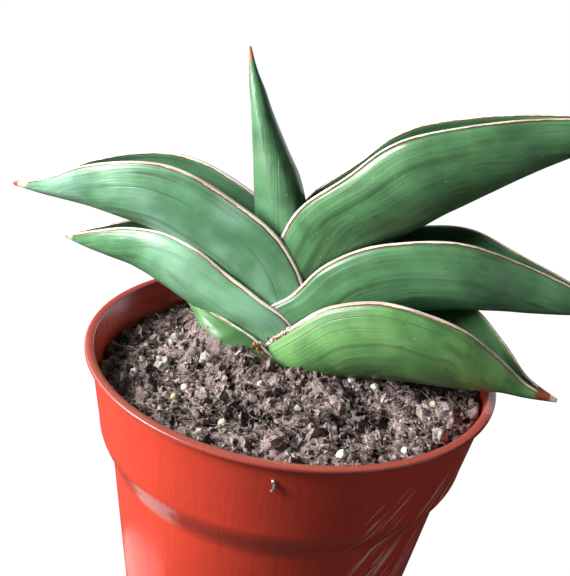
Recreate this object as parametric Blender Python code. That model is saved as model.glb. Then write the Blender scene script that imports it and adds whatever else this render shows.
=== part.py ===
"""Potted snake plant: a two-ranked plant with channelled leaves in a round nursery pot.

The origin is the middle of the pot's flat underside, +Z up, in metres.  The leaves stand in
two ranks, one towards +X and one towards -X, and each leaf's base wraps the younger ones.
"""

import bmesh
import bpy
from math import cos, exp, hypot, pi, radians, sin, tau

from mathutils import Matrix, Vector, noise

MM = 0.001
GAP = 0.3 * MM                  # clearance between two pieces that touch

# Pot
RIM_RADIUS = 55.0 * MM          # outside of the lip
POT_HEIGHT = 96.0 * MM
WALL = 1.2 * MM
LIP_WIDTH = 2.4 * MM
LIP_THICKNESS = 1.1 * MM
LIP_OVERHANG = 1.6 * MM         # how far the lip stands out from the collar
COLLAR_HEIGHT = 21.0 * MM
COLLAR_TAPER = 3.1 * MM         # how much narrower the collar is at its foot
SHOULDER_HEIGHT = 12.5 * MM
SHOULDER_STEP = 4.3 * MM
BODY_TAPER = 8.4 * MM           # how much narrower the body is at the foot
FOOT_ROUND = 1.6 * MM
FLOOR = 1.4 * MM
SEGMENTS = 64
DRAIN_HOLES = 8
DRAIN_RADIUS = 3.0 * MM
DRAIN_RING = 0.69               # share of the foot's radius

# Potting mix: a gently tilted top with a mound round the plant
SOIL_DROP = 6.0 * MM            # from the pot's top down to the mix
SOIL_LEVEL = POT_HEIGHT - SOIL_DROP
SOIL_SLOPE_X = 0.05
SOIL_SLOPE_Y = -0.035
MOUND_HEIGHT = 4.0 * MM
MOUND_SPREAD = 20.0 * MM
BANK_HEIGHT = 6.5 * MM          # a bank heaped against the lowest left-hand leaf
BANK_X = -23.0 * MM
BANK_Y = 0.0
BANK_SPREAD = 8.5 * MM
SOIL_ROUGHNESS = 0.5 * MM
SOIL_BUMP_SPREAD = 7.0 * MM
# Where the rings of points lie across the mix's top, as shares of its radius
TOP_RINGS = (1.0, 0.86, 0.72, 0.6, 0.5, 0.4, 0.3, 0.16)

# Leaves
LEAF_SCALE = 1.0
EDGE_THICKNESS = 1.2 * MM       # the pale margin along each side of the channel
RINGS_PER_SECTION = 2
OUTER_POINTS = 11
INNER_POINTS = 7
BELLY_BASE = 0.12               # how far the sides swell, as a share of the half opening
BELLY_MIDDLE = 0.30             # and how much more halfway along
INNER_BELLY = 0.8
CHANNEL_BASE = 0.88             # how deep the channel is, as a share of the leaf's depth
CHANNEL_MIDDLE = 0.16           # and how much less halfway along
CHANNEL_END = 0.12              # the channel runs out over this share of the leaf's length
ROUNDNESS = 1.25                # of the section from margin to keel
EDGE_SHARE = 0.45               # the margins fill no more than this share of a narrow tip

# Crown: the buried stem, and the plant's axis
CROWN_X = -4.0 * MM
CROWN_Y = 6.0 * MM
CROWN_BURIED = 6.0 * MM         # how far its top, where the leaves sit, is below the mix's
CROWN_TOP = SOIL_LEVEL - CROWN_BURIED
CROWN_DEPTH = 13.0 * MM
CROWN_LENGTH = 18.5 * MM * LEAF_SCALE       # half its length, along the ranks
CROWN_WIDTH = 14.2 * MM * LEAF_SCALE        # half its width
CROWN_SIDES = 28
FAN_TURN = -10.0                # degrees that the ranks are turned from the X axis
ROOT_RADIUS = 1.6 * MM
ROOT_TIP_RADIUS = 0.8 * MM
ROOT_STEPS = 6
ROOT_SIDES = 8
# Where each root runs: (heading in degrees, reach as a share of the foot's radius, depth in mm)
ROOTS = [(20, 0.69, 34), (75, 0.58, 44), (140, 0.72, 30), (200, 0.58, 48), (255, 0.66, 38),
         (315, 0.72, 52)]

# Each leaf is a run of sections from its seat on the crown to its tip, oldest leaf first.
# A section is (keel out, keel up, margin out, margin up, half opening) in millimetres, out
# from the crown's axis and up from the crown's top.
LEAVES = {
    "leaf_left_lower": (180 + FAN_TURN, [
        (12.5, 0, -7, 0, 12.8),
        (13.5, 3.5, -6.3, 6, 13),
        (15, 6.3, -2, 11.5, 13.1),
        (17, 8.8, 4, 16, 12.9),
        (19.3, 11, 10, 18.2, 12.2),
        (21.8, 13.2, 16, 19.5, 10.4),
        (24.5, 15.3, 22, 20.1, 7),
        (29.5, 18.3, 29.5, 19.3, 0.6),
    ]),
    "leaf_right_lower": (FAN_TURN - 8, [
        (14, 0, -5, 0, 11),
        (15.5, 4, -4.5, 8, 11),
        (18.5, 6.7, -0.5, 14, 11),
        (23, 8.2, 6.5, 21.6, 11.2),
        (29, 9.8, 15.5, 30, 11),
        (36, 11.4, 27, 34.5, 10.7),
        (43.5, 12.8, 39, 35, 9.8),
        (52, 14, 49.5, 32.6, 8),
        (60, 15.4, 59, 26.6, 4.8),
        (67, 16, 66.5, 20.9, 2.3),
        (74.5, 17.2, 74.6, 18, 0.5),
    ]),
    "leaf_left_middle": (180 + FAN_TURN, [
        (10.5, 0, -6, 0, 9.5),
        (12, 8, -7, 11, 9.5),
        (16, 13.5, -4.7, 20.7, 9.5),
        (21.5, 16, 5, 26, 9.5),
        (28, 18.3, 14, 30.4, 8.8),
        (35.5, 21.2, 23, 34.8, 8),
        (43, 23.5, 34.5, 37.2, 6.3),
        (50.5, 24.6, 46, 35.4, 4.4),
        (58, 25.5, 56, 31.8, 2.5),
        (65, 27, 65.2, 27.9, 0.5),
    ]),
    "leaf_right_middle": (FAN_TURN, [
        (11, 0, -5.5, 0, 8),
        (13, 10, -6.5, 13, 8),
        (18, 18, -3.5, 22.5, 8),
        (25, 24, 3, 29, 8.3),
        (32, 27.8, 10, 38.6, 8.2),
        (39, 30.3, 20, 45.4, 7.6),
        (46, 32.3, 32, 49.8, 7.2),
        (54, 33.8, 44.5, 51.6, 6.8),
        (63, 35, 57, 48.8, 3.8),
        (73, 36.9, 69.5, 45.2, 2),
        (82, 39.3, 82, 40.4, 0.5),
    ]),
    "leaf_left_upper": (180 + FAN_TURN, [
        (8, 0, -5, 0, 6.5),
        (9, 12, -6.5, 15, 6.5),
        (12.5, 21.5, -6.5, 29, 6.5),
        (19.5, 26.5, 2.5, 42.6, 6.8),
        (29, 31.5, 17, 50.9, 6.8),
        (40, 35.5, 31, 55.6, 6.6),
        (51, 37.3, 45, 54.9, 6),
        (63, 38.2, 59.5, 50, 4.2),
        (73.5, 38.6, 71, 44, 2.1),
        (81.3, 39.2, 81.6, 40.2, 0.5),
    ]),
    "leaf_right_upper": (FAN_TURN, [
        (6.5, 0, -3.5, 0, 5),
        (8, 16, -4.5, 21, 5),
        (12, 28.5, -4, 36, 5.2),
        (18, 38, -1.5, 46, 5.7),
        (25, 45.5, 2.5, 53.4, 6.6),
        (32, 51.7, 11, 61.6, 7.5),
        (38.5, 57.2, 20, 71.2, 7.4),
        (45.5, 62.6, 30, 76.7, 6.9),
        (54, 69.2, 43, 81.2, 5.2),
        (63.5, 76, 57, 84.5, 3),
        (71.5, 80.7, 68.5, 85.6, 1.6),
        (78, 83.3, 78, 84.3, 0.5),
    ]),
    "leaf_centre": (-30, [
        (5, 0, -3, 0, 3.2),
        (6, 17, -5.5, 16, 3.6),
        (5.3, 34, -8.5, 32, 4.2),
        (3, 47, -10.8, 46, 4.5),
        (-1.7, 57, -12.7, 56, 4.3),
        (-6.5, 63.6, -14.6, 63, 3.5),
        (-11.4, 70.4, -16.6, 70, 2.6),
        (-15.3, 77.2, -18.8, 77, 1.7),
        (-18.4, 82.1, -20.2, 82, 0.9),
        (-20.8, 87, -21.2, 87, 0.3),
    ]),
}

# Grains and lumps in the top of the mix: (heading in degrees, share of the mix's radius out
# from the pot's axis, radius in millimetres)
PERLITE = [(-28, 0.362, 1.1), (-24, 0.484, 1.2), (-71, 0.870, 1.0), (-115, 0.321, 0.9),
           (-51, 0.916, 0.9), (-163, 0.819, 1.0)]
PRILLS = [(145, 0.848, 1.35), (-114, 0.672, 1.35), (-139, 0.708, 1.1), (-145, 0.612, 1.2),
          (-85, 0.712, 1.1), (-20, 0.785, 1.2)]
LUMPS = [(-157, 0.457, 2.6), (-166, 0.667, 2.3), (172, 0.636, 2.2), (-36, 0.926, 2.2)]
GRAIN_LIFT = 0.35               # how far a grain's middle is above the mix, as a share of its radius
GRAIN_NOISE_SCALE = 1.7


def material(name, colour, roughness):
    made = bpy.data.materials.new(name)
    made.use_nodes = True
    shader = made.node_tree.nodes["Principled BSDF"]
    shader.inputs["Base Color"].default_value = (*colour, 1)
    shader.inputs["Roughness"].default_value = roughness
    shader.inputs["Metallic"].default_value = 0
    return made


def make_object(name, bm, finish=None):
    """Turn a bmesh into a named object; a piece without a finish is a cutter."""
    bmesh.ops.recalc_face_normals(bm, faces=bm.faces)
    mesh = bpy.data.meshes.new(name)
    bm.to_mesh(mesh)
    bm.free()
    made = bpy.data.objects.new(name, mesh)
    bpy.context.scene.collection.objects.link(made)
    if finish:
        mesh.materials.append(finish)
        mesh.shade_smooth()
        mesh.set_sharp_from_angle(angle=radians(40))
    else:
        made.hide_render = True
        made.display_type = "WIRE"
    return made


def boolean(target, cutter, operation="DIFFERENCE"):
    cut = target.modifiers.new(cutter.name, "BOOLEAN")
    cut.operation = operation
    cut.solver = "EXACT"
    cut.object = cutter


# ---------------------------------------------------------------- pot

COLLAR_TOP_RADIUS = RIM_RADIUS - LIP_OVERHANG
COLLAR_FOOT_RADIUS = COLLAR_TOP_RADIUS - COLLAR_TAPER
BODY_TOP_RADIUS = COLLAR_FOOT_RADIUS - SHOULDER_STEP
COLLAR_FOOT = POT_HEIGHT - COLLAR_HEIGHT
SHOULDER_FOOT = COLLAR_FOOT - SHOULDER_HEIGHT
SHOULDER_STEPS = 4
FOOT_RADIUS = BODY_TOP_RADIUS - BODY_TAPER


def shoulder(offset):
    """The S-shaped step from the collar's foot down to the body, top to bottom."""
    points = []
    for i in range(1, SHOULDER_STEPS + 1):
        t = i / SHOULDER_STEPS
        ease = 0.5 - 0.5 * cos(pi * t)
        points.append((COLLAR_FOOT_RADIUS - offset - SHOULDER_STEP * ease,
                       COLLAR_FOOT - SHOULDER_HEIGHT * t))
    return points


def inner_wall():
    """The pot's inside as (radius, height), from the lip down to the floor."""
    foot_inner = FOOT_RADIUS - WALL + (BODY_TOP_RADIUS - FOOT_RADIUS) * FLOOR / SHOULDER_FOOT
    return ([(RIM_RADIUS - LIP_WIDTH, POT_HEIGHT), (COLLAR_FOOT_RADIUS - WALL, COLLAR_FOOT)]
            + shoulder(WALL) + [(foot_inner, FLOOR)])


def turned(profile):
    """Spin a closed (radius, height) outline that starts and ends on the axis."""
    bm = bmesh.new()
    points = [bm.verts.new((r, 0, z)) for r, z in profile]
    edges = [bm.edges.new(pair) for pair in zip(points, points[1:])]
    bmesh.ops.spin(bm, geom=points + edges, cent=(0, 0, 0), axis=(0, 0, 1), angle=tau,
                   steps=SEGMENTS, use_merge=True, use_duplicate=False)
    bmesh.ops.remove_doubles(bm, verts=bm.verts, dist=0.01 * MM)
    return bm


def make_pot():
    lip_under = POT_HEIGHT - LIP_THICKNESS
    outside = [(0, 0), (FOOT_RADIUS - FOOT_ROUND, 0), (FOOT_RADIUS, FOOT_ROUND)]
    outside += list(reversed(shoulder(0)))
    outside += [(COLLAR_FOOT_RADIUS, COLLAR_FOOT), (COLLAR_TOP_RADIUS, lip_under),
                (RIM_RADIUS, lip_under), (RIM_RADIUS, POT_HEIGHT)]
    pot = make_object("pot", turned(outside + inner_wall() + [(0, FLOOR)]),
                      material("red_plastic", (0.55, 0.06, 0.03), 0.28))
    holes = bmesh.new()
    for i in range(DRAIN_HOLES):
        angle = tau * i / DRAIN_HOLES
        ring = DRAIN_RING * FOOT_RADIUS
        place = Matrix.Translation((ring * cos(angle), ring * sin(angle), 0))
        bmesh.ops.create_cone(holes, cap_ends=True, segments=16, radius1=DRAIN_RADIUS,
                              radius2=DRAIN_RADIUS, depth=4 * FLOOR, matrix=place)
    boolean(pot, make_object("cut_drain_holes", holes))
    return pot


# ---------------------------------------------------------------- leaves

def catmull(rows, index, t):
    """A point on the smooth curve through rows, between rows[index] and the next."""
    last = len(rows) - 1
    a, b, c, d = (rows[min(max(index + k, 0), last)] for k in (-1, 0, 1, 2))
    return [0.5 * (2 * q + (r - p) * t + (2 * p - 5 * q + 4 * r - s) * t ** 2
                   + (3 * q - p - 3 * r + s) * t ** 3)
            for p, q, r, s in zip(a, b, c, d)]


def section_ring(place, section, along, grow):
    """One closed ring of a leaf: outside from margin to margin, then back up the channel.

    grow swells the ring and fills the channel, for a cutter.
    """
    out_k, up_k, out_m, up_m, half = (value * MM * LEAF_SCALE for value in section)
    keel = Vector((out_k, 0, up_k))
    rise = Vector((out_m, 0, up_m)) - keel
    up = rise.normalized()
    keel -= up * grow
    rise += up * 2 * grow
    half += grow
    side = Vector((0, 1, 0))
    belly = half * (BELLY_BASE + BELLY_MIDDLE * sin(pi * along))
    ring = []
    for i in range(OUTER_POINTS):
        angle = pi * i / (OUTER_POINTS - 1)
        across = half * cos(angle) + belly * sin(2 * angle)
        ring.append(keel + rise * (1 - sin(angle) ** ROUNDNESS) + side * across)
    closing = min(1.0, (1 - along) / CHANNEL_END)
    channel = (CHANNEL_BASE - CHANNEL_MIDDLE * sin(pi * along)) * closing if not grow else 0
    edge = min(EDGE_THICKNESS, half * EDGE_SHARE)
    for i in range(INNER_POINTS):
        angle = pi * i / (INNER_POINTS - 1)
        across = (half - edge) * cos(angle) + INNER_BELLY * belly * sin(2 * angle) * channel
        height = 1 - channel * sin(angle) ** ROUNDNESS
        ring.append(keel + rise * height - side * across)
    return [place @ point for point in ring]


def leaf_mesh(turn, sections, grow=0.0):
    seat = Matrix.Translation((CROWN_X, CROWN_Y, CROWN_TOP))
    axis = seat @ Matrix.Rotation(radians(turn), 4, "Z")
    if cos(radians(turn)) < 0:
        axis = axis @ Matrix.Scale(-1, 4, (0, 1, 0))
    bm = bmesh.new()
    rings = []
    steps = (len(sections) - 1) * RINGS_PER_SECTION
    for step in range(steps + 1):
        index = min(step // RINGS_PER_SECTION, len(sections) - 2)
        row = catmull(sections, index, step / RINGS_PER_SECTION - index)
        ring = section_ring(axis, row, step / steps, grow)
        if step == 0:
            ring = [point - Vector((0, 0, 1.5 * grow)) for point in ring]
        rings.append([bm.verts.new(point) for point in ring])
    for lower, upper in zip(rings, rings[1:]):
        count = len(lower)
        for i in range(count):
            j = (i + 1) % count
            bm.faces.new((lower[i], lower[j], upper[j], upper[i]))
    bm.faces.new(rings[0])
    bm.faces.new(rings[-1])
    return bm


def make_leaves():
    """Build every leaf, then trim each older leaf clear of the younger ones it wraps."""
    green = material("leaf_green", (0.10, 0.26, 0.11), 0.42)
    leaves = {}
    cutters = {}
    for name, (turn, sections) in LEAVES.items():
        leaves[name] = make_object(name, leaf_mesh(turn, sections), green)
        cutters[name] = make_object("cut_" + name, leaf_mesh(turn, sections, GAP))
    names = list(LEAVES)
    for order, name in enumerate(names):
        for younger in names[order + 1:]:
            boolean(leaves[name], cutters[younger])
    return cutters


# ---------------------------------------------------------------- crown and roots


def crown_mesh(grow=0.0):
    """A blunt oval stump, flat on top where the leaves sit.

    Swollen into a cutter, its top clears the plane that the leaves start on.
    """
    bm = bmesh.new()
    profile = [(0, -1), (0.45, -0.93), (0.8, -0.7), (0.97, -0.35), (1, -0.12), (1, 0), (0, 0)]
    points = []
    for r, z in profile:
        top = CROWN_TOP - GAP + (1.5 * grow if z == 0 else 0)
        depth = CROWN_DEPTH + (grow if z == -1 else 0)
        points.append(bm.verts.new((r, 0, top + z * depth)))
    edges = [bm.edges.new(pair) for pair in zip(points, points[1:])]
    bmesh.ops.spin(bm, geom=points + edges, cent=(0, 0, 0), axis=(0, 0, 1), angle=tau,
                   steps=CROWN_SIDES, use_merge=True, use_duplicate=False)
    bmesh.ops.remove_doubles(bm, verts=bm.verts, dist=0.01 * MM)
    size = Matrix.Diagonal((CROWN_LENGTH + grow, CROWN_WIDTH + grow, 1, 1))
    place = Matrix.Translation((CROWN_X, CROWN_Y, 0))
    bm.transform(place @ Matrix.Rotation(radians(FAN_TURN), 4, "Z") @ size)
    return bm


def root_mesh(heading, reach, depth, grow=0.0):
    """A tapered cord that leaves the crown's middle sideways and turns down."""
    bm = bmesh.new()
    reach *= FOOT_RADIUS
    depth *= MM
    start = Vector((CROWN_X, CROWN_Y, CROWN_TOP - CROWN_DEPTH / 2))
    out = Vector((cos(radians(heading)), sin(radians(heading)), 0))
    side = Vector((-out.y, out.x, 0))
    rings = []
    for i in range(ROOT_STEPS + 1):
        t = i / ROOT_STEPS
        swing = 0.5 * pi * t
        centre = start + out * reach * sin(swing) - Vector((0, 0, depth * (1 - cos(swing))))
        run = (out * reach * cos(swing) - Vector((0, 0, depth * sin(swing)))).normalized()
        radius = ROOT_RADIUS + (ROOT_TIP_RADIUS - ROOT_RADIUS) * t + grow
        if i == ROOT_STEPS:
            centre += run * grow
        over = side.cross(run)
        ring = []
        for k in range(ROOT_SIDES):
            angle = tau * k / ROOT_SIDES
            off = side * cos(angle) + over * sin(angle)
            ring.append(bm.verts.new(centre + off * radius))
        rings.append(ring)
    for lower, upper in zip(rings, rings[1:]):
        for k in range(ROOT_SIDES):
            j = (k + 1) % ROOT_SIDES
            bm.faces.new((lower[k], lower[j], upper[j], upper[k]))
    bm.faces.new(rings[0])
    bm.faces.new(rings[-1])
    return bm


def make_crown():
    crown = make_object("crown_and_roots", crown_mesh(), material("root_tan", (0.50, 0.36, 0.20), 0.8))
    hollows = [make_object("cut_crown", crown_mesh(GAP))]
    for number, root in enumerate(ROOTS, 1):
        boolean(crown, make_object(f"add_root_{number}", root_mesh(*root)), "UNION")
        hollows.append(make_object(f"cut_root_{number}", root_mesh(*root, GAP)))
    return hollows


# ---------------------------------------------------------------- potting mix and what lies in it

def soil_height(x, y):
    away = hypot(x - CROWN_X, y - CROWN_Y) / MOUND_SPREAD
    level = SOIL_LEVEL + SOIL_SLOPE_X * x + SOIL_SLOPE_Y * y + MOUND_HEIGHT * exp(-away ** 2)
    level += BANK_HEIGHT * exp(-(hypot(x - BANK_X, y - BANK_Y) / BANK_SPREAD) ** 2)
    return level + SOIL_ROUGHNESS * noise.noise(Vector((x, y, 0)) / SOIL_BUMP_SPREAD)


def inner_radius(height):
    """The mix's radius where it meets the pot's wall at this height."""
    wall = inner_wall()
    for (r1, z1), (r0, z0) in zip(wall, wall[1:]):
        if z0 <= height <= z1:
            return r0 + (r1 - r0) * (height - z0) / (z1 - z0) - GAP
    return wall[-1][0] - GAP


def soil_mesh():
    """Filled to the pot's wall, with the uneven top as rings of points."""
    bm = bmesh.new()
    wall_heights = [z for r, z in inner_wall()[1:-1]] + [FLOOR + GAP]
    rings = []
    for height in reversed(wall_heights):
        radius = inner_radius(height)
        rings.append([(radius * cos(tau * i / SEGMENTS), radius * sin(tau * i / SEGMENTS), height)
                      for i in range(SEGMENTS)])
    for share in TOP_RINGS:
        ring = []
        for i in range(SEGMENTS):
            angle = tau * i / SEGMENTS
            x, y = cos(angle), sin(angle)
            radius = inner_radius(soil_height(x * RIM_RADIUS * 0.95, y * RIM_RADIUS * 0.95))
            height = soil_height(x * radius, y * radius)
            radius = inner_radius(height) * share
            if share < 1:
                height = soil_height(x * radius, y * radius)
            ring.append((x * radius, y * radius, height))
        rings.append(ring)
    loops = [[bm.verts.new(point) for point in ring] for ring in rings]
    for lower, upper in zip(loops, loops[1:]):
        for i in range(SEGMENTS):
            j = (i + 1) % SEGMENTS
            bm.faces.new((lower[i], lower[j], upper[j], upper[i]))
    bm.faces.new(loops[0])
    top = bm.verts.new((0, 0, soil_height(0, 0)))
    for i in range(SEGMENTS):
        bm.faces.new((loops[-1][i], loops[-1][(i + 1) % SEGMENTS], top))
    return bm


# The well's size, its length and width as shares of the crown's
HOLE_LENGTH = 0.72
HOLE_WIDTH = 0.74
HOLE_DEPTH = 30.0 * MM


def planting_hole():
    """The oval well in the mix that the leaf bases fill, from the crown up."""
    bm = bmesh.new()
    bmesh.ops.create_cone(bm, cap_ends=True, segments=CROWN_SIDES, radius1=1, radius2=1, depth=HOLE_DEPTH)
    size = Matrix.Diagonal((CROWN_LENGTH * HOLE_LENGTH, CROWN_WIDTH * HOLE_WIDTH, 1, 1))
    place = Matrix.Translation((CROWN_X, CROWN_Y, CROWN_TOP - GAP / 2 + HOLE_DEPTH / 2))
    bm.transform(place @ Matrix.Rotation(radians(FAN_TURN), 4, "Z") @ size)
    return bm


def grain_mesh(heading, share, radius, unevenness, grow=0.0):
    """A round or broken grain, sunk to about a third in the top of the mix."""
    reach = share * inner_radius(SOIL_LEVEL)
    x, y = reach * cos(radians(heading)), reach * sin(radians(heading))
    radius *= MM
    centre = Vector((x, y, soil_height(x, y) + GRAIN_LIFT * radius))
    bm = bmesh.new()
    bmesh.ops.create_icosphere(bm, subdivisions=2, radius=1)
    for vert in bm.verts:
        push = 1 + unevenness * noise.noise(vert.co * GRAIN_NOISE_SCALE + centre / MM)
        vert.co = centre + vert.co * (radius * push + grow)
    return bm


def make_soil(hollows):
    soil = make_object("potting_mix", soil_mesh(), material("peat", (0.10, 0.065, 0.05), 0.95))
    for hollow in hollows:
        boolean(soil, hollow)
    boolean(soil, make_object("cut_planting_hole", planting_hole()))
    kinds = [("perlite", PERLITE, 0.45, (0.75, 0.74, 0.70)),
             ("fertiliser_prill", PRILLS, 0.05, (0.52, 0.46, 0.33)),
             ("soil_lump", LUMPS, 0.6, (0.22, 0.17, 0.13))]
    for kind, grains, unevenness, colour in kinds:
        finish = material(kind, colour, 0.85)
        for number, grain in enumerate(grains, 1):
            name = f"{kind}_{number}"
            make_object(name, grain_mesh(*grain, unevenness), finish)
            boolean(soil, make_object("cut_" + name, grain_mesh(*grain, unevenness, GAP)))


for old in list(bpy.data.objects):
    bpy.data.objects.remove(old, do_unlink=True)

make_pot()
leaf_cutters = make_leaves()
root_hollows = make_crown()
make_soil(list(reversed(leaf_cutters.values())) + root_hollows)
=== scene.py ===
"""The looks of a potted snake plant: a thin red pot of peaty mix and a two-ranked young plant."""

import bmesh
import bpy
import math
import random
from functools import lru_cache
from math import cos, exp, hypot, pi, radians, sin, tau

from mathutils import Euler, Matrix, Vector, noise
from mathutils.bvhtree import BVHTree


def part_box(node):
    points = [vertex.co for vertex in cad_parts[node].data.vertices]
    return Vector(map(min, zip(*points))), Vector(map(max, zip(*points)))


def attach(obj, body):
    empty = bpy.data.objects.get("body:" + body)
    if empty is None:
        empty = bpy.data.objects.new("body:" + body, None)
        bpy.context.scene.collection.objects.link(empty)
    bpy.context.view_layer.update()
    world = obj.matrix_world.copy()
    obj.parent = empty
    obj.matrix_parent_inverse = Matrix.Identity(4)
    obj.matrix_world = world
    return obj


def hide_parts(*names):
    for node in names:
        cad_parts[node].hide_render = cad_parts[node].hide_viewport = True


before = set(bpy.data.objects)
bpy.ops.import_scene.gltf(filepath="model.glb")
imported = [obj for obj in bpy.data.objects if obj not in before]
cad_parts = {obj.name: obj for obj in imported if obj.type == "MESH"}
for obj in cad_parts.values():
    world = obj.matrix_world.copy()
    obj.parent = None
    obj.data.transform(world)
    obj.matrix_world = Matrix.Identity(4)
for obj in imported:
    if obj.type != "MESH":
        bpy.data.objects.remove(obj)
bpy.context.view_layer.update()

MM = 0.001


# ------------------------------------------------------------------ pot
# A thin blow-moulded nursery pot of glossy terracotta-red plastic.  It is turned as one wall: a
# flat lip, a straight collar, an S-shaped shoulder and a tapered body, with eight drain holes
# punched in a flat floor.

POT_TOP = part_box("pot")[1][2]
RIM_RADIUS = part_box("pot")[1][0]
WALL = 1.2 * MM
LIP_WIDTH = 2.4 * MM
LIP_THICKNESS = 1.1 * MM
LIP_OVERHANG = 1.6 * MM
LIP_ROUND = 0.42 * MM
LIP_BEVEL_IN = 0.3 * MM
LIP_BEVEL_DOWN = 0.25 * MM
COLLAR_HEIGHT = 21.0 * MM
COLLAR_TAPER = 3.1 * MM
SHOULDER_HEIGHT = 12.5 * MM
SHOULDER_STEP = 4.3 * MM
BODY_TAPER = 8.4 * MM
FOOT_ROUND = 1.6 * MM
FLOOR = 1.4 * MM
COLLAR_FOOT = POT_TOP - COLLAR_HEIGHT
COLLAR_TOP_RADIUS = RIM_RADIUS - LIP_OVERHANG
COLLAR_FOOT_RADIUS = COLLAR_TOP_RADIUS - COLLAR_TAPER
BODY_TOP_RADIUS = COLLAR_FOOT_RADIUS - SHOULDER_STEP
FOOT_RADIUS = BODY_TOP_RADIUS - BODY_TAPER
SCRATCH_SLANT = 31  # degrees
SCRATCH_TURNS = (-68, -58, -34, -22)  # degrees round the pot: none, full, full, none
SCRATCH_LEVELS = (0.030, 0.045, 0.078, 0.088)


def feed(tree, socket, value):
    """Link a socket from another one, or set its value."""
    if isinstance(value, bpy.types.NodeSocket):
        tree.links.new(value, socket)
    elif socket.type == "RGBA":
        socket.default_value = (*value, 1)
    else:
        socket.default_value = value


def place_node(tree, kind, inputs=None, **settings):
    """Add a shader node; an input is a value, or a socket to link from."""
    made = tree.nodes.new(kind)
    for name, value in settings.items():
        setattr(made, name, value)
    for name, value in (inputs or {}).items():
        feed(tree, made.inputs[name], value)
    return made


def sums(tree, operation, *values, clamp=False):
    """A Math node on numbers or sockets."""
    made = tree.nodes.new("ShaderNodeMath")
    made.operation = operation
    made.use_clamp = clamp
    for socket, value in zip(made.inputs, values):
        feed(tree, socket, value)
    return made.outputs[0]


def tint(tree, under, over, amount):
    """Lay one colour over another by a mask."""
    made = tree.nodes.new("ShaderNodeMix")
    made.data_type = "RGBA"
    for index, value in ((0, amount), (6, under), (7, over)):
        feed(tree, made.inputs[index], value)
    return made.outputs[2]


def ramp(tree, value, low, high, bottom=0.0, top=1.0):
    """A smooth step of a value from bottom at low to top at high."""
    values = {"Value": value, "From Min": low, "From Max": high, "To Min": bottom, "To Max": top}
    return place_node(tree, "ShaderNodeMapRange", values,
                      interpolation_type="SMOOTHSTEP").outputs["Result"]


def between(tree, value, start, full, fading, end):
    """A mask that rises from start to full, and falls again from fading to end."""
    return sums(tree, "MULTIPLY", ramp(tree, value, start, full), ramp(tree, value, end, fading))


def grainy(tree, vector, scale, detail=2.0, roughness=0.5):
    """Noise along a vector, from 0 to 1."""
    values = {"Vector": vector, "Scale": scale, "Detail": detail, "Roughness": roughness}
    return place_node(tree, "ShaderNodeTexNoise", values).outputs["Fac"]


def own_place(tree):
    """Where a point lies on its own object."""
    return tree.nodes.new("ShaderNodeTexCoord").outputs["Object"]


def noted(tree, name, output="Fac"):
    """What a mesh has noted at its points under this name."""
    return place_node(tree, "ShaderNodeAttribute", attribute_name=name).outputs[output]


def stretched(tree, vector, factors, turn=(0, 0, 0)):
    """A vector scaled and turned, so that a pattern on it is drawn out."""
    values = {"Vector": vector, "Scale": factors, "Rotation": turn}
    return place_node(tree, "ShaderNodeMapping", values).outputs["Vector"]


def new_finish(name, roughness, specular=0.5):
    """A material, its node tree and its shader."""
    made = bpy.data.materials.new(name)
    made.use_nodes = True
    shader = made.node_tree.nodes["Principled BSDF"]
    shader.inputs["Roughness"].default_value = roughness
    shader.inputs["Specular IOR Level"].default_value = specular
    return made, made.node_tree, shader


def raise_surface(tree, shader, height, strength, distance):
    """Let a height be felt in the way the surface takes light."""
    bump = place_node(tree, "ShaderNodeBump", {"Height": height, "Strength": strength,
                                               "Distance": distance})
    tree.links.new(bump.outputs["Normal"], shader.inputs["Normal"])


def new_effect(name, inputs, outputs):
    """A node group: its inputs by name, with their usual values, and its outputs' names."""
    group = bpy.data.node_groups.new(name, "ShaderNodeTree")
    for label, value in inputs.items():
        kind = "NodeSocketColor" if isinstance(value, tuple) else "NodeSocketFloat"
        made = group.interface.new_socket(label, in_out="INPUT", socket_type=kind)
        made.default_value = (*value, 1) if isinstance(value, tuple) else value
    for label in outputs:
        kind = "NodeSocketColor" if label == "Color" else "NodeSocketFloat"
        group.interface.new_socket(label, in_out="OUTPUT", socket_type=kind)
    given = group.nodes.new("NodeGroupInput").outputs
    result = group.nodes.new("NodeGroupOutput").inputs
    return group, given, result


def coated(name, effect, values, roughness, specular, bump, depth):
    """A finish whose colour, height and, where it has one, roughness come from an effect."""
    made, tree, shader = new_finish(name, roughness, specular)
    placed = place_node(tree, "ShaderNodeGroup", values, node_tree=effect)
    tree.links.new(placed.outputs["Color"], shader.inputs["Base Color"])
    if "Roughness" in placed.outputs:
        tree.links.new(placed.outputs["Roughness"], shader.inputs["Roughness"])
    raise_surface(tree, shader, placed.outputs["Height"], bump, depth)
    return made


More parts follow.
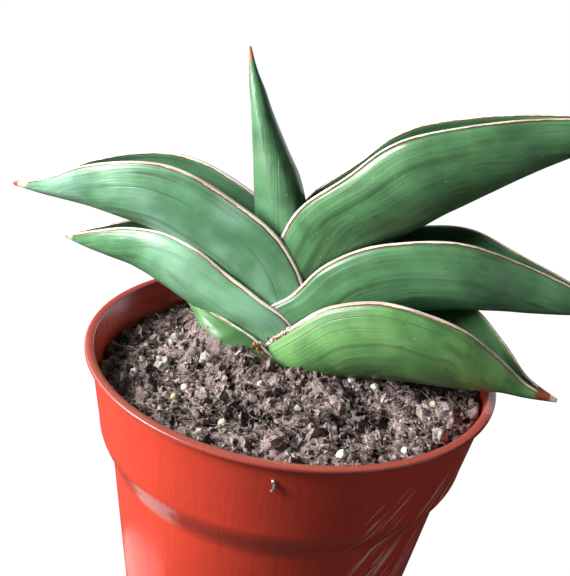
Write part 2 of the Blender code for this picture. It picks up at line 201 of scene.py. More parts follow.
def red_plastic():
    """Glossy plastic with drawn streaks, dust, and slanting scratches on one side."""
    made, tree, shader = new_finish("red_plastic", 0.25)
    at = own_place(tree)
    split = place_node(tree, "ShaderNodeSeparateXYZ", {"Vector": at})
    heading = sums(tree, "ARCTAN2", split.outputs["Y"], split.outputs["X"])
    girth = sums(tree, "MULTIPLY", heading, BODY_TOP_RADIUS)
    wrapped = place_node(tree, "ShaderNodeCombineXYZ",
                         {"X": girth, "Y": split.outputs["Z"]}).outputs[0]
    streaks = grainy(tree, stretched(tree, wrapped, (900, 40, 1)), 1.0, 3.0)
    cloud = grainy(tree, at, 45, 3.0)
    dust = ramp(tree, grainy(tree, at, 1500, 2.0), 0.68, 0.8)
    slanted = stretched(tree, wrapped, (1, 1, 1), (0, 0, radians(SCRATCH_SLANT)))
    slanted = stretched(tree, slanted, (1100, 46, 1))
    scratch = ramp(tree, grainy(tree, slanted, 1.0, 2.0, 0.6), 0.57, 0.66)
    side = between(tree, heading, *(radians(turn) for turn in SCRATCH_TURNS))
    level = between(tree, split.outputs["Z"], *SCRATCH_LEVELS)
    scratch = sums(tree, "MULTIPLY", scratch, sums(tree, "MULTIPLY", side, level))
    colour = tint(tree, (0.52, 0.040, 0.020), (0.62, 0.060, 0.032), cloud)
    colour = tint(tree, colour, (0.40, 0.030, 0.018), ramp(tree, streaks, 0.55, 0.85, 0.0, 0.5))
    # the top of the lip is darker and duller in colour
    darker_lip_top = ramp(tree, split.outputs["Z"], POT_TOP - 1.5 * MM, POT_TOP - 1.0 * MM)
    colour = tint(tree, colour, (0.30, 0.062, 0.050), sums(tree, "MULTIPLY", darker_lip_top, 0.85))
    colour = tint(tree, colour, (0.75, 0.42, 0.34), sums(tree, "MULTIPLY", dust, 0.35))
    colour = tint(tree, colour, (0.85, 0.60, 0.54), sums(tree, "MULTIPLY", scratch, 0.75))
    tree.links.new(colour, shader.inputs["Base Color"])
    rough = sums(tree, "ADD", ramp(tree, streaks, 0.3, 0.8, 0.20, 0.30),
                 sums(tree, "MULTIPLY", dust, 0.3))
    tree.links.new(sums(tree, "ADD", rough, sums(tree, "MULTIPLY", scratch, 0.3)),
                   shader.inputs["Roughness"])
    raise_surface(tree, shader, sums(tree, "ADD", cloud, sums(tree, "MULTIPLY", streaks, 0.25)),
                  0.35, 0.0006)
    return made


def in_scene(name, data):
    """An object with this data, placed in the scene."""
    made = bpy.data.objects.new(name, data)
    bpy.context.scene.collection.objects.link(made)
    return made


def new_piece(name, bm, finish, stands_for=(), crease=40):
    """Make a bmesh a piece of the object that rides on the root."""
    mesh = bpy.data.meshes.new(name)
    bm.to_mesh(mesh)
    bm.free()
    mesh.materials.append(finish)
    mesh.shade_smooth()
    mesh.set_sharp_from_angle(angle=radians(crease))
    piece = in_scene(name, mesh)
    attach(piece, "root")
    if stands_for:
        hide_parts(*stands_for)
    return piece


def corner(middle, start, end, steps=5):
    """Points of a rounded corner as (radius, height), from one angle in degrees to another."""
    turns = [radians(start + (end - start) * i / steps) for i in range(steps + 1)]
    return [(middle[0] + LIP_ROUND * cos(a), middle[1] + LIP_ROUND * sin(a)) for a in turns]


def shoulder(offset, steps=16):
    """The S-shaped step from the collar's foot down to the body."""
    points = []
    for i in range(1, steps + 1):
        ease = 0.5 - 0.5 * cos(pi * i / steps)
        points.append((COLLAR_FOOT_RADIUS - offset - SHOULDER_STEP * ease,
                       COLLAR_FOOT - SHOULDER_HEIGHT * i / steps))
    return points


def pot_wall():
    """The pot's whole outline, from the middle of its underside out, up and back down inside."""
    under_lip = POT_TOP - LIP_THICKNESS
    outer, top, low = RIM_RADIUS - LIP_ROUND, POT_TOP - LIP_ROUND, under_lip + LIP_ROUND
    foot = [(FOOT_RADIUS - FOOT_ROUND + FOOT_ROUND * sin(a), FOOT_ROUND - FOOT_ROUND * cos(a))
            for a in (radians(15 * i) for i in range(7))]
    outside = [(0, 0)] + foot + shoulder(0)[::-1]
    outside += [(COLLAR_FOOT_RADIUS, COLLAR_FOOT), (COLLAR_TOP_RADIUS, under_lip)]
    outside += corner((outer, low), -90, 0) + corner((outer, top), 0, 90)
    inner_edge = RIM_RADIUS - LIP_WIDTH
    inside = [(inner_edge + LIP_BEVEL_IN, POT_TOP), (inner_edge, POT_TOP - LIP_BEVEL_DOWN),
              (COLLAR_FOOT_RADIUS - WALL, COLLAR_FOOT)]
    inside += shoulder(WALL) + [(FOOT_RADIUS - WALL, FLOOR + WALL), (FOOT_RADIUS - 2 * WALL, FLOOR)]
    return outside + inside + [(0, FLOOR)]


def spun(outline, steps):
    """Turn an outline of (radius, height) points about the pot's axis."""
    bm = bmesh.new()
    points = [bm.verts.new((r, 0, z)) for r, z in outline]
    edges = [bm.edges.new(pair) for pair in zip(points, points[1:])]
    bmesh.ops.spin(bm, geom=points + edges, cent=(0, 0, 0), axis=(0, 0, 1), angle=tau, steps=steps,
                   use_merge=True, use_duplicate=False)
    bmesh.ops.remove_doubles(bm, verts=bm.verts, dist=0.005 * MM)
    bmesh.ops.recalc_face_normals(bm, faces=bm.faces)
    return bm


def close_up(bm, weld):
    """Weld points nearer than this, fill what is still open, and turn every face outward."""
    bmesh.ops.remove_doubles(bm, verts=bm.verts, dist=weld)
    bmesh.ops.holes_fill(bm, edges=[edge for edge in bm.edges if edge.is_boundary], sides=0)
    bmesh.ops.recalc_face_normals(bm, faces=bm.faces)
    return bm


def cut_away(piece, cutters):
    """Cut closed shapes out of a piece, and leave its mesh plain."""
    for cutter in cutters:
        cut = piece.modifiers.new(cutter.name, "BOOLEAN")
        cut.operation = "DIFFERENCE"
        cut.solver = "EXACT"
        cut.object = cutter
    bpy.context.view_layer.update()
    shaped = piece.evaluated_get(bpy.context.evaluated_depsgraph_get())
    mesh = bpy.data.meshes.new_from_object(shaped)
    piece.modifiers.clear()
    piece.data = mesh


def hidden_shape(name, bm):
    """A shape that only cuts, to be removed once it has."""
    mesh = bpy.data.meshes.new(name)
    bm.to_mesh(mesh)
    bm.free()
    shape = in_scene(name, mesh)
    shape.hide_render = True
    return shape


DRAIN_HOLES = 8
DRAIN_RADIUS = 3.0 * MM
DRAIN_RING = 0.69 * FOOT_RADIUS
POT_STEPS = 224

plastic = red_plastic()
pot = new_piece("nursery_pot", spun(pot_wall(), POT_STEPS), plastic, ["pot"], 50)
punches = bmesh.new()
for i in range(DRAIN_HOLES):
    turn = tau * i / DRAIN_HOLES
    spot = Matrix.Translation((DRAIN_RING * cos(turn), DRAIN_RING * sin(turn), 0))
    bmesh.ops.create_cone(punches, cap_ends=True, segments=40, radius1=DRAIN_RADIUS,
                          radius2=DRAIN_RADIUS, depth=4 * FLOOR, matrix=spot)
punch = hidden_shape("punch", punches)
cut_away(pot, [punch])
bpy.data.objects.remove(punch)


# ------------------------------------------------------------------ potting mix
# Dry peat that crumbles: a settled mass with a rough top, loose crumbs heaped on it and against
# the plant's foot, torn root and bark fibres, and sharp sand.

FILL = BVHTree.FromObject(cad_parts["potting_mix"], bpy.context.evaluated_depsgraph_get())
PLANT = [BVHTree.FromObject(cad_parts[name], bpy.context.evaluated_depsgraph_get())
         for name in ("leaf_left_lower", "leaf_right_lower")]
FILL_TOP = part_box("potting_mix")[1][2]
LOWEST_TOP = POT_TOP - 9.5 * MM
LEFT_HEAP = 5.6 * MM
LEFT_HEAP_END = -2.0 * MM
LEFT_HEAP_RUN = 9.0 * MM
RIGHT_HEAP = 2.4 * MM
HEAP_SPREAD = 5.5 * MM
LATTICE = 1.0 * MM
KNOB_REACH = 0.72
KNOB_MEAN = 0.6
# how wide and how high each kind of roughness is, in millimetres
WARPS = (2.5, 0.9)
SWELLS = (9, 1.3)
BIG_CLODS = (4.2, 1.5)
SMALL_CLODS = (2.3, 0.5)
SHREDS = (1.3, 1.5)
FINE_CRUMBS = (0.6, 0.4)
SHRED_LEVEL = 0.35
dice = random.Random(7)
noise.seed_set(7)  # the warp's noise would start from the clock


@lru_cache(maxsize=None)
def level_at(i, j):
    """The height of the mix's top at a lattice point, with the heap against the plant's foot."""
    x, y = i * LATTICE, j * LATTICE
    hit = FILL.ray_cast(Vector((x, y, FILL_TOP + 10 * MM)), Vector((0, 0, -1)))[0]
    z = max(hit.z, LOWEST_TOP) if hit else LOWEST_TOP
    left = LEFT_HEAP * min(1.0, max(0.0, (LEFT_HEAP_END - x) / LEFT_HEAP_RUN))
    heaps = [height * exp(-(tree.find_nearest(Vector((x, y, z)))[3] / HEAP_SPREAD) ** 2)
             for tree, height in zip(PLANT, (left, RIGHT_HEAP))]
    return z + max(heaps)


def settled(x, y):
    """The height of the mix's settled top, between the lattice's points."""
    i, j = math.floor(x / LATTICE), math.floor(y / LATTICE)
    u, v = x / LATTICE - i, y / LATTICE - j
    near = level_at(i, j) * (1 - u) + level_at(i + 1, j) * u
    far = level_at(i, j + 1) * (1 - u) + level_at(i + 1, j + 1) * u
    return near * (1 - v) + far * v


def knobs(at, size, offset):
    """Rounded bumps packed side by side, with sharp pits between them, from 0 to 1."""
    away = noise.voronoi(at / size + Vector((offset, offset, offset)))[0][0] / KNOB_REACH
    return max(0.0, 1 - away * away) ** 0.5


@lru_cache(maxsize=None)
def clods(x, y):
    """The rough top: swells, clods and crumbs."""
    at = Vector((x, y, 0)) / MM
    warped = at + noise.noise_vector(at / WARPS[0]) * WARPS[1]
    swell = noise.noise(at / SWELLS[0]) * SWELLS[1]
    big = (knobs(warped, BIG_CLODS[0], 3) - KNOB_MEAN) * BIG_CLODS[1]
    small = (knobs(warped, SMALL_CLODS[0], 8) - KNOB_MEAN) * SMALL_CLODS[1]
    shreds = SHRED_LEVEL - abs(noise.noise(warped / SHREDS[0])) * SHREDS[1]
    fine = noise.noise(at / FINE_CRUMBS[0]) * FINE_CRUMBS[1]
    return (swell + (big + small) + (shreds + fine)) * MM


def inner_wall_radius(z):
    """The pot's inside at a height in its collar."""
    share = (z - COLLAR_FOOT) / COLLAR_HEIGHT
    return COLLAR_FOOT_RADIUS - WALL + (COLLAR_TAPER - LIP_WIDTH + WALL + LIP_OVERHANG) * share


def dried_peat():
    """Peat that is darker in its pits and paler on its bumps, as painted shade, and paler and
    greyer where it has dried.
    """
    group, given, result = new_effect("dried_peat", {
        "Dark": (0.02, 0.015, 0.013), "Mid": (0.2, 0.155, 0.145), "Pale": (0.5, 0.43, 0.41),
    }, ("Color", "Height"))
    at = own_place(group)
    crumbs = grainy(group, at, 380, 5.0, 0.65)
    patches = grainy(group, at, 85, 3.0)
    grit = grainy(group, at, 2600, 2.0, 0.7)
    # each crumb's own random tone; on the settled mass, painted shade that follows its height
    own_tone_and_shade = noted(group, "tone")
    broad = sums(group, "MULTIPLY", sums(group, "SUBTRACT", patches, 0.5), 0.35)
    # the crumbly noise is also the height, so its low pits are painted darker: painted shade
    tone = sums(group, "ADD", sums(group, "ADD", crumbs, own_tone_and_shade), broad)
    colour = tint(group, given["Dark"], given["Mid"], ramp(group, tone, 0.36, 0.58))
    colour = tint(group, colour, given["Pale"], ramp(group, tone, 0.60, 0.86))
    dry = sums(group, "MULTIPLY", ramp(group, grit, 0.50, 0.70),
               ramp(group, patches, 0.35, 0.62, 0.25, 0.9))
    colour = tint(group, colour, given["Pale"], dry)
    group.links.new(colour, result["Color"])
    height = sums(group, "ADD", crumbs, sums(group, "MULTIPLY", grit, 0.5))
    group.links.new(height, result["Height"])
    return group


BODY_RELIEF_SHADING = 0.10  # painted shade: how much paler the mix is for each millimetre it stands up, so darker in its hollows
MIX_STEPS_AROUND = 420
MIX_RINGS = 130
WALL_GAP = 0.35 * MM
EDGE_INSET = 4 * MM  # where the level at the wall is taken, in from the rim


def mix_body():
    """The settled mass: its top is a fine grid of rings, its sides follow the pot's wall."""
    bm = bmesh.new()
    tone = bm.verts.layers.float.new("tone")
    edges = {}
    bmesh.ops.create_grid(bm, x_segments=MIX_STEPS_AROUND, y_segments=MIX_RINGS, size=0.5)
    low = [(r - WALL - WALL_GAP, z)
           for r, z in [(COLLAR_FOOT_RADIUS, COLLAR_FOOT)] + shoulder(0, 4)]
    low += [(FOOT_RADIUS - WALL_GAP, FLOOR + WALL + WALL_GAP),
            (FOOT_RADIUS - 2 * WALL, FLOOR + WALL_GAP)]
    side = len(low)
    for vert in bm.verts:
        turn = tau * (vert.co.x + 0.5)
        step = round((vert.co.y + 0.5) * MIX_RINGS)
        share = 1 - max(0, step - side) / (MIX_RINGS - side)
        across = Vector((cos(turn), sin(turn), 0))
        if turn not in edges:
            by_wall = across * (RIM_RADIUS - EDGE_INSET)
            edges[turn] = inner_wall_radius(settled(by_wall.x, by_wall.y)) - WALL_GAP
        edge = edges[turn]
        if step < side:
            radius, z = low[side - 1 - step]
            vert.co = across * radius + Vector((0, 0, z))
        else:
            spot = across * (edge * share)
            bump = clods(spot.x, spot.y)
            # painted shade and light from the height: darker in the hollows, paler on the tops
            vert[tone] = BODY_RELIEF_SHADING * bump / MM
            vert.co = spot + Vector((0, 0, settled(spot.x, spot.y) + bump))
    return close_up(bm, 0.01 * MM)


SCATTER_INSET = 4.2 * MM
CRUMB_TONES = (-0.09, 0.38)  # the darkest, and how much paler the palest is
PALE_SIZE = 0.8 * MM  # crumbs any bigger are seldom pale
SMALLNESS = 2.5
CRUMB_UNEVENNESS = 1.3
CRUMB_FLATNESS = 0.65
GRAIN_SPOTS = [[(a + b) / 2 for a, b in zip(*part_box(name))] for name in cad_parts
               if name.startswith(("perlite", "fertiliser", "soil_lump"))]
GRAIN_ROOM = 1.6 * MM


def scatter(radius):
    """A random spot on the mix for something of this radius, clear of the pot's wall."""
    reach = (RIM_RADIUS - SCATTER_INSET - radius) * dice.random() ** 0.5
    turn = dice.uniform(0, tau)
    return reach * cos(turn), reach * sin(turn)


def lump(bm, middle, radius, unevenness, subdivisions, flat=0.8):
    """One broken crumb: a small ball pushed out of round, turned at random, of its own shade."""
    tone = bm.verts.layers.float.get("tone") or bm.verts.layers.float.new("tone")
    shade = CRUMB_TONES[0] + CRUMB_TONES[1] * dice.random() ** 3 * min(1.0, PALE_SIZE / radius)
    turned = Euler([dice.uniform(0, tau) for _ in range(3)]).to_matrix()
    drift = Vector([dice.uniform(-50, 50) for _ in range(3)])
    squeeze = Vector((dice.uniform(0.7, 1.25), dice.uniform(0.7, 1.1), flat))
    made = bmesh.ops.create_icosphere(bm, subdivisions=subdivisions, radius=1)["verts"]
    for vert in made:
        push = 1 + unevenness * noise.noise(vert.co * 1.6 + drift)
        vert.co = middle + turned @ (vert.co * squeeze) * radius * push
        vert[tone] = shade


def clear_of_plant(spot):
    """Whether a spot is outside every leaf that reaches the mix."""
    for tree in PLANT:
        near, outward, _, _ = tree.find_nearest(spot)
        if (spot - near).dot(outward) < 0:
            return False
    return True


def heap_of_crumbs(count, smallest, largest, subdivisions, lift):
    """Crumbs all over the top, smaller ones more often, that leave the pale grains in sight."""
    bm = bmesh.new()
    for _ in range(count):
        radius = smallest + (largest - smallest) * dice.random() ** SMALLNESS
        x, y = scatter(CRUMB_UNEVENNESS * radius)
        z = settled(x, y) + clods(x, y) + radius * lift
        in_sight = all(hypot(x - spot[0], y - spot[1]) > GRAIN_ROOM + radius
                       for spot in GRAIN_SPOTS)
        if in_sight and clear_of_plant(Vector((x, y, z))):
            lump(bm, Vector((x, y, z)), radius, CRUMB_UNEVENNESS, subdivisions, CRUMB_FLATNESS)
    return bm


FIBRE_STEPS = 6
FIBRE_TAPER = 0.7
FIBRE_BEND = 0.5  # radians at each step
FIBRE_WAVER = 0.25  # radians at each step
FIBRE_CLIMB = (-0.2, 0.45)
FIBRE_DROOP = 1.6
FIBRE_LIFT = (0.2, 0.9)  # millimetres


def fibre(bm, start, heading, length, thickness):
    """A torn fibre: a little sheet rolled into a three-sided strand that bends as it goes."""
    at = start.copy()
    bend = dice.uniform(-FIBRE_BEND, FIBRE_BEND)
    climb = dice.uniform(*FIBRE_CLIMB)
    rings = []
    for i in range(FIBRE_STEPS + 1):
        across = Vector((-sin(heading), cos(heading), 0))
        size = thickness * (1 - FIBRE_TAPER * abs(2 * i / FIBRE_STEPS - 1))
        rings.append((at.copy(), across * size, size))
        run = Vector((cos(heading), sin(heading), climb * (1 - FIBRE_DROOP * i / FIBRE_STEPS)))
        at += run * (length / FIBRE_STEPS)
        heading += bend + dice.uniform(-FIBRE_WAVER, FIBRE_WAVER)
    for vert in bmesh.ops.create_grid(bm, x_segments=3, y_segments=FIBRE_STEPS, size=0.5)["verts"]:
        middle, across, size = rings[round((vert.co.y + 0.5) * FIBRE_STEPS)]
        turn = tau * (vert.co.x + 0.5)
        vert.co = middle + across * cos(turn) + Vector((0, 0, size * sin(turn)))


def tangle(count, shortest, longest, thickness):
    """Fibres strewn all over the top."""
    bm = bmesh.new()
    for _ in range(count):
        x, y = scatter(longest / 2)
        start = Vector((x, y, settled(x, y) + clods(x, y) + dice.uniform(*FIBRE_LIFT) * MM))
        fibre(bm, start, dice.uniform(0, tau), dice.uniform(shortest, longest),
              thickness * dice.uniform(0.6, 1.3))
    return close_up(bm, 0.001 * MM)


PEAT = dried_peat()


def peat(name, dark, mid, pale):
    """A matt, crumbly finish of three tones."""
    return coated(name, PEAT, {"Dark": dark, "Mid": mid, "Pale": pale}, 0.95, 0.15, 0.9, 0.8 * MM)


peat_mass = peat("peat_mass", (0.014, 0.010, 0.009), (0.230, 0.170, 0.164), (0.58, 0.485, 0.47))
peat_crumb = peat("peat_crumb", (0.040, 0.028, 0.026), (0.330, 0.250, 0.242), (0.74, 0.635, 0.62))
peat_fibre = peat("peat_fibre", (0.12, 0.08, 0.065), (0.28, 0.21, 0.175), (0.56, 0.48, 0.43))
sand_grain = peat("sand_grain", (0.24, 0.20, 0.19), (0.46, 0.42, 0.40), (0.80, 0.77, 0.74))

new_piece("potting_mix_body", mix_body(), peat_mass, ["potting_mix"], 180)
new_piece("peat_crumbs", heap_of_crumbs(count=3000, smallest=0.30 * MM, largest=1.2 * MM,
                                        subdivisions=1, lift=0.2), peat_crumb, crease=15)
new_piece("peat_clods", heap_of_crumbs(count=380, smallest=0.9 * MM, largest=2.6 * MM,
                                       subdivisions=2, lift=-0.1), peat_crumb, crease=25)
new_piece("big_peat_clods", heap_of_crumbs(count=60, smallest=1.8 * MM, largest=3.6 * MM,
                                           subdivisions=3, lift=-0.25),
          peat_mass, crease=180)
new_piece("peat_fibres", tangle(1500, shortest=1.5 * MM, longest=6.0 * MM, thickness=0.12 * MM),
          peat_fibre, crease=80)
new_piece("root_hairs", tangle(70, shortest=4.0 * MM, longest=9.0 * MM, thickness=0.10 * MM),
          sand_grain, crease=80)
new_piece("sharp_sand", heap_of_crumbs(count=1500, smallest=0.14 * MM, largest=0.36 * MM,
                                       subdivisions=1, lift=0.7), sand_grain, crease=30)

# a wet fleck of mix that has dried on the collar
FLECK_TOP = (0.2 * MM, -53.0 * MM, 90.6 * MM)
FLECK_BEADS = 4
FLECK_RADIUS = 0.5 * MM
FLECK_WAVER = 0.5  # millimetres
FLECK_DROP = 0.85  # millimetres
fleck = bmesh.new()
for step in range(FLECK_BEADS):
    bead = Vector(FLECK_TOP) + Vector((FLECK_WAVER * sin(step), 0, -FLECK_DROP * step)) * MM
    lump(fleck, bead, FLECK_RADIUS, unevenness=0.7, subdivisions=2)
new_piece("stuck_fleck", fleck, sand_grain, crease=60)


# ------------------------------------------------------------------ perlite, feed prills and lumps
# Loose grains in the top of the mix: white expanded perlite, smooth round balls of coated feed,
# and bigger lumps of peat and bark.  Each is a ball pushed out of round, half sunk in the mix.

def mottling():
    """Two tones in a fine mottle that is also felt as small pits."""
    group, given, result = new_effect("mottling", {
        "Low": (0.4, 0.4, 0.4), "High": (0.8, 0.8, 0.8), "Fineness": 800.0,
    }, ("Color", "Height"))
    at = own_place(group)
    mottle = grainy(group, at, given["Fineness"], 4.0, 0.6)
    group.links.new(tint(group, given["Low"], given["High"], ramp(group, mottle, 0.35, 0.6)),
                    result["Color"])
    group.links.new(mottle, result["Height"])
    return group


MOTTLING = mottling()


def grain_finish(name, low, high, roughness, fineness):
    """A mottled finish of two tones."""
    return coated(name, MOTTLING, {"Low": low, "High": high, "Fineness": float(fineness)},
                  roughness, 0.3, 0.7, 0.4 * MM)


GRAIN_LIFT = 0.38
GRAIN_FLATNESS = 0.95
# kind, how many, slot, how far out of round, how finely divided, finish
GRAIN_KINDS = [
    ("perlite", 6, "perlite", 0.35, 3,
     grain_finish("perlite_white", (0.55, 0.54, 0.53), (0.92, 0.92, 0.90), 0.85, 1100)),
    ("fertiliser_prill", 6, "prill", 0.06, 3,
     grain_finish("prill_tan", (0.33, 0.28, 0.18), (0.66, 0.60, 0.46), 0.55, 700)),
    ("soil_lump", 4, "lump", 0.55, 4,
     grain_finish("lump_grey", (0.10, 0.08, 0.07), (0.42, 0.38, 0.36), 0.95, 600)),
]
for kind, count, slot, unevenness, subdivisions, finish in GRAIN_KINDS:
    for number in range(1, count + 1):
        low, high = (Vector(corner_point) for corner_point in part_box(f"{kind}_{number}"))
        middle = (low + high) / 2
        size = high.x - low.x
        middle.z = settled(middle.x, middle.y) + clods(middle.x, middle.y) + size * GRAIN_LIFT
        bm = bmesh.new()
        lump(bm, middle, size / 2, unevenness, subdivisions, GRAIN_FLATNESS)
        new_piece(f"{kind}_grain_{number}", bm, finish, [f"{kind}_{number}"], 180)


# ------------------------------------------------------------------ crown and roots
# The buried woody stump that every leaf grows from, with cord-like roots.  It is left as the
# frame has it, in a corky tan skin.

def corky_tan():
    """Rough tan cork, ringed across the stem."""
    made, tree, shader = new_finish("corky_tan", 0.85, 0.3)
    at = own_place(tree)
    rings = grainy(tree, stretched(tree, at, (300, 300, 1400)), 1.0, 3.0)
    colour = tint(tree, (0.30, 0.19, 0.09), (0.60, 0.45, 0.27), ramp(tree, rings, 0.35, 0.65))
    tree.links.new(colour, shader.inputs["Base Color"])
    raise_surface(tree, shader, rings, 0.6, 0.0004)
    return made


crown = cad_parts["crown_and_roots"]
cork = corky_tan()
if not crown.material_slots:
    crown.data.materials.append(cork)
for material_slot in crown.material_slots:
    material_slot.material = cork


# ------------------------------------------------------------------ leaves
# Thick, stiff, channelled leaves in two ranks.  Each is skinned in waxy green with darker
# lengthwise furrows and cross bands, a cream horny bead along both margins with a thin
# red-brown line below it, and a hard brown point.

CROWN_X = -4.0 * MM
CROWN_Y = 6.0 * MM
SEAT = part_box("leaf_centre")[0][2]
FAN_TURN = -10
EDGE_THICKNESS = 1.2 * MM
BELLY_BASE = 0.12
BELLY_MIDDLE = 0.30
INNER_BELLY = 0.8
CHANNEL_BASE = 0.88
CHANNEL_MIDDLE = 0.16
CHANNEL_END = 0.12
ROUNDNESS = 1.25
EDGE_SHARE = 0.45
# in millimetres
MARGIN_WAVE = 0.35
FURROW_DEPTH = 0.12
DENT_DEPTH = 0.22
LINE_DEPTH = 0.22
# shares of the way across the outside
LINE_PLACE = 0.030
LINE_WIDTH = 0.016
EVENING = 0.11  # brings the points of the outside nearer its two edges

# (keel out, keel up, margin out, margin up, half opening) in millimetres, out from the crown's
# axis and up from its top, from the leaf's seat to its tip
LEAF_SECTIONS = {
    "leaf_left_lower": (180 + FAN_TURN, [
        (12.5, 0, -7, 0, 12.8), (13.5, 3.5, -6.3, 6, 13), (15, 6.3, -2, 11.5, 13.1),
        (17, 8.8, 4, 16, 12.9), (19.3, 11, 10, 18.2, 12.2), (21.8, 13.2, 16, 19.5, 10.4),
        (24.5, 15.3, 22, 20.1, 7), (29.5, 18.3, 29.5, 19.3, 0.6),
    ]),
    "leaf_right_lower": (FAN_TURN - 8, [
        (14, 0, -5, 0, 11), (15.5, 4, -4.5, 8, 11), (18.5, 6.7, -0.5, 14, 11),
        (23, 8.2, 6.5, 21.6, 11.2), (29, 9.8, 15.5, 30, 11), (36, 11.4, 27, 34.5, 10.7),
        (43.5, 12.8, 39, 35, 9.8), (52, 14, 49.5, 32.6, 8), (60, 15.4, 59, 26.6, 4.8),
        (67, 16, 66.5, 20.9, 2.3), (74.5, 17.2, 74.6, 18, 0.5),
    ]),
    "leaf_left_middle": (180 + FAN_TURN, [
        (10.5, 0, -6, 0, 9.5), (12, 8, -7, 11, 9.5), (16, 13.5, -4.7, 20.7, 9.5),
        (21.5, 16, 5, 26, 9.5), (28, 18.3, 14, 30.4, 8.8), (35.5, 21.2, 23, 34.8, 8),
        (43, 23.5, 34.5, 37.2, 6.3), (50.5, 24.6, 46, 35.4, 4.4), (58, 25.5, 56, 31.8, 2.5),
        (65, 27, 65.2, 27.9, 0.5),
    ]),
    "leaf_right_middle": (FAN_TURN, [
        (11, 0, -5.5, 0, 8), (13, 10, -6.5, 13, 8), (18, 18, -3.5, 22.5, 8),
        (25, 24, 3, 29, 8.3), (32, 27.8, 10, 38.6, 8.2), (39, 30.3, 20, 45.4, 7.6),
        (46, 32.3, 32, 49.8, 7.2), (54, 33.8, 44.5, 51.6, 6.8), (63, 35, 57, 48.8, 3.8),
        (73, 36.9, 69.5, 45.2, 2), (82, 39.3, 82, 40.4, 0.5),
    ]),
    "leaf_left_upper": (180 + FAN_TURN, [
        (8, 0, -5, 0, 6.5), (9, 12, -6.5, 15, 6.5), (12.5, 21.5, -6.5, 29, 6.5),
        (19.5, 26.5, 2.5, 42.6, 6.8), (29, 31.5, 17, 50.9, 6.8), (40, 35.5, 31, 55.6, 6.6),
        (51, 37.3, 45, 54.9, 6), (63, 38.2, 59.5, 50, 4.2), (73.5, 38.6, 71, 44, 2.1),
        (81.3, 39.2, 81.6, 40.2, 0.5),
    ]),
    "leaf_right_upper": (FAN_TURN, [
        (6.5, 0, -3.5, 0, 5), (8, 16, -4.5, 21, 5), (12, 28.5, -4, 36, 5.2),
        (18, 38, -1.5, 46, 5.7), (25, 45.5, 2.5, 53.4, 6.6), (32, 51.7, 11, 61.6, 7.5),
        (38.5, 57.2, 20, 71.2, 7.4), (45.5, 62.6, 30, 76.7, 6.9), (54, 69.2, 43, 81.2, 5.2),
        (63.5, 76, 57, 84.5, 3), (71.5, 80.7, 68.5, 85.6, 1.6), (78, 83.3, 78, 84.3, 0.5),
    ]),
    "leaf_centre": (-30, [
        (5, 0, -3, 0, 3.2), (6, 17, -5.5, 16, 3.6), (5.3, 34, -8.5, 32, 4.2),
        (3, 47, -10.8, 46, 4.5), (-1.7, 57, -12.7, 56, 4.3), (-6.5, 63.6, -14.6, 63, 3.5),
        (-11.4, 70.4, -16.6, 70, 2.6), (-15.3, 77.2, -18.8, 77, 1.7), (-18.4, 82.1, -20.2, 82, 0.9),
        (-20.8, 87, -21.2, 87, 0.3),
    ]),
}

OUTER_STEPS = 44
BEAD_STEPS = 8
INNER_STEPS = 18
RINGS = 150
SPACE_RINGS = 40
AROUND = 2 * INNER_STEPS + 2 * BEAD_STEPS + OUTER_STEPS


def smooth_row(rows, at):
    """The section at a share of the way along the smooth curve through a leaf's sections."""
    last = len(rows) - 1
    index = min(int(at * last), last - 1)
    t = at * last - index
    a, b, c, d = (rows[min(max(index + k, 0), last)] for k in (-1, 0, 1, 2))
    return [0.5 * (2 * q + (r - p) * t + (2 * p - 5 * q + 4 * r - s) * t ** 2
                   + (3 * q - p - 3 * r + s) * t ** 3)
            for p, q, r, s in zip(a, b, c, d)]


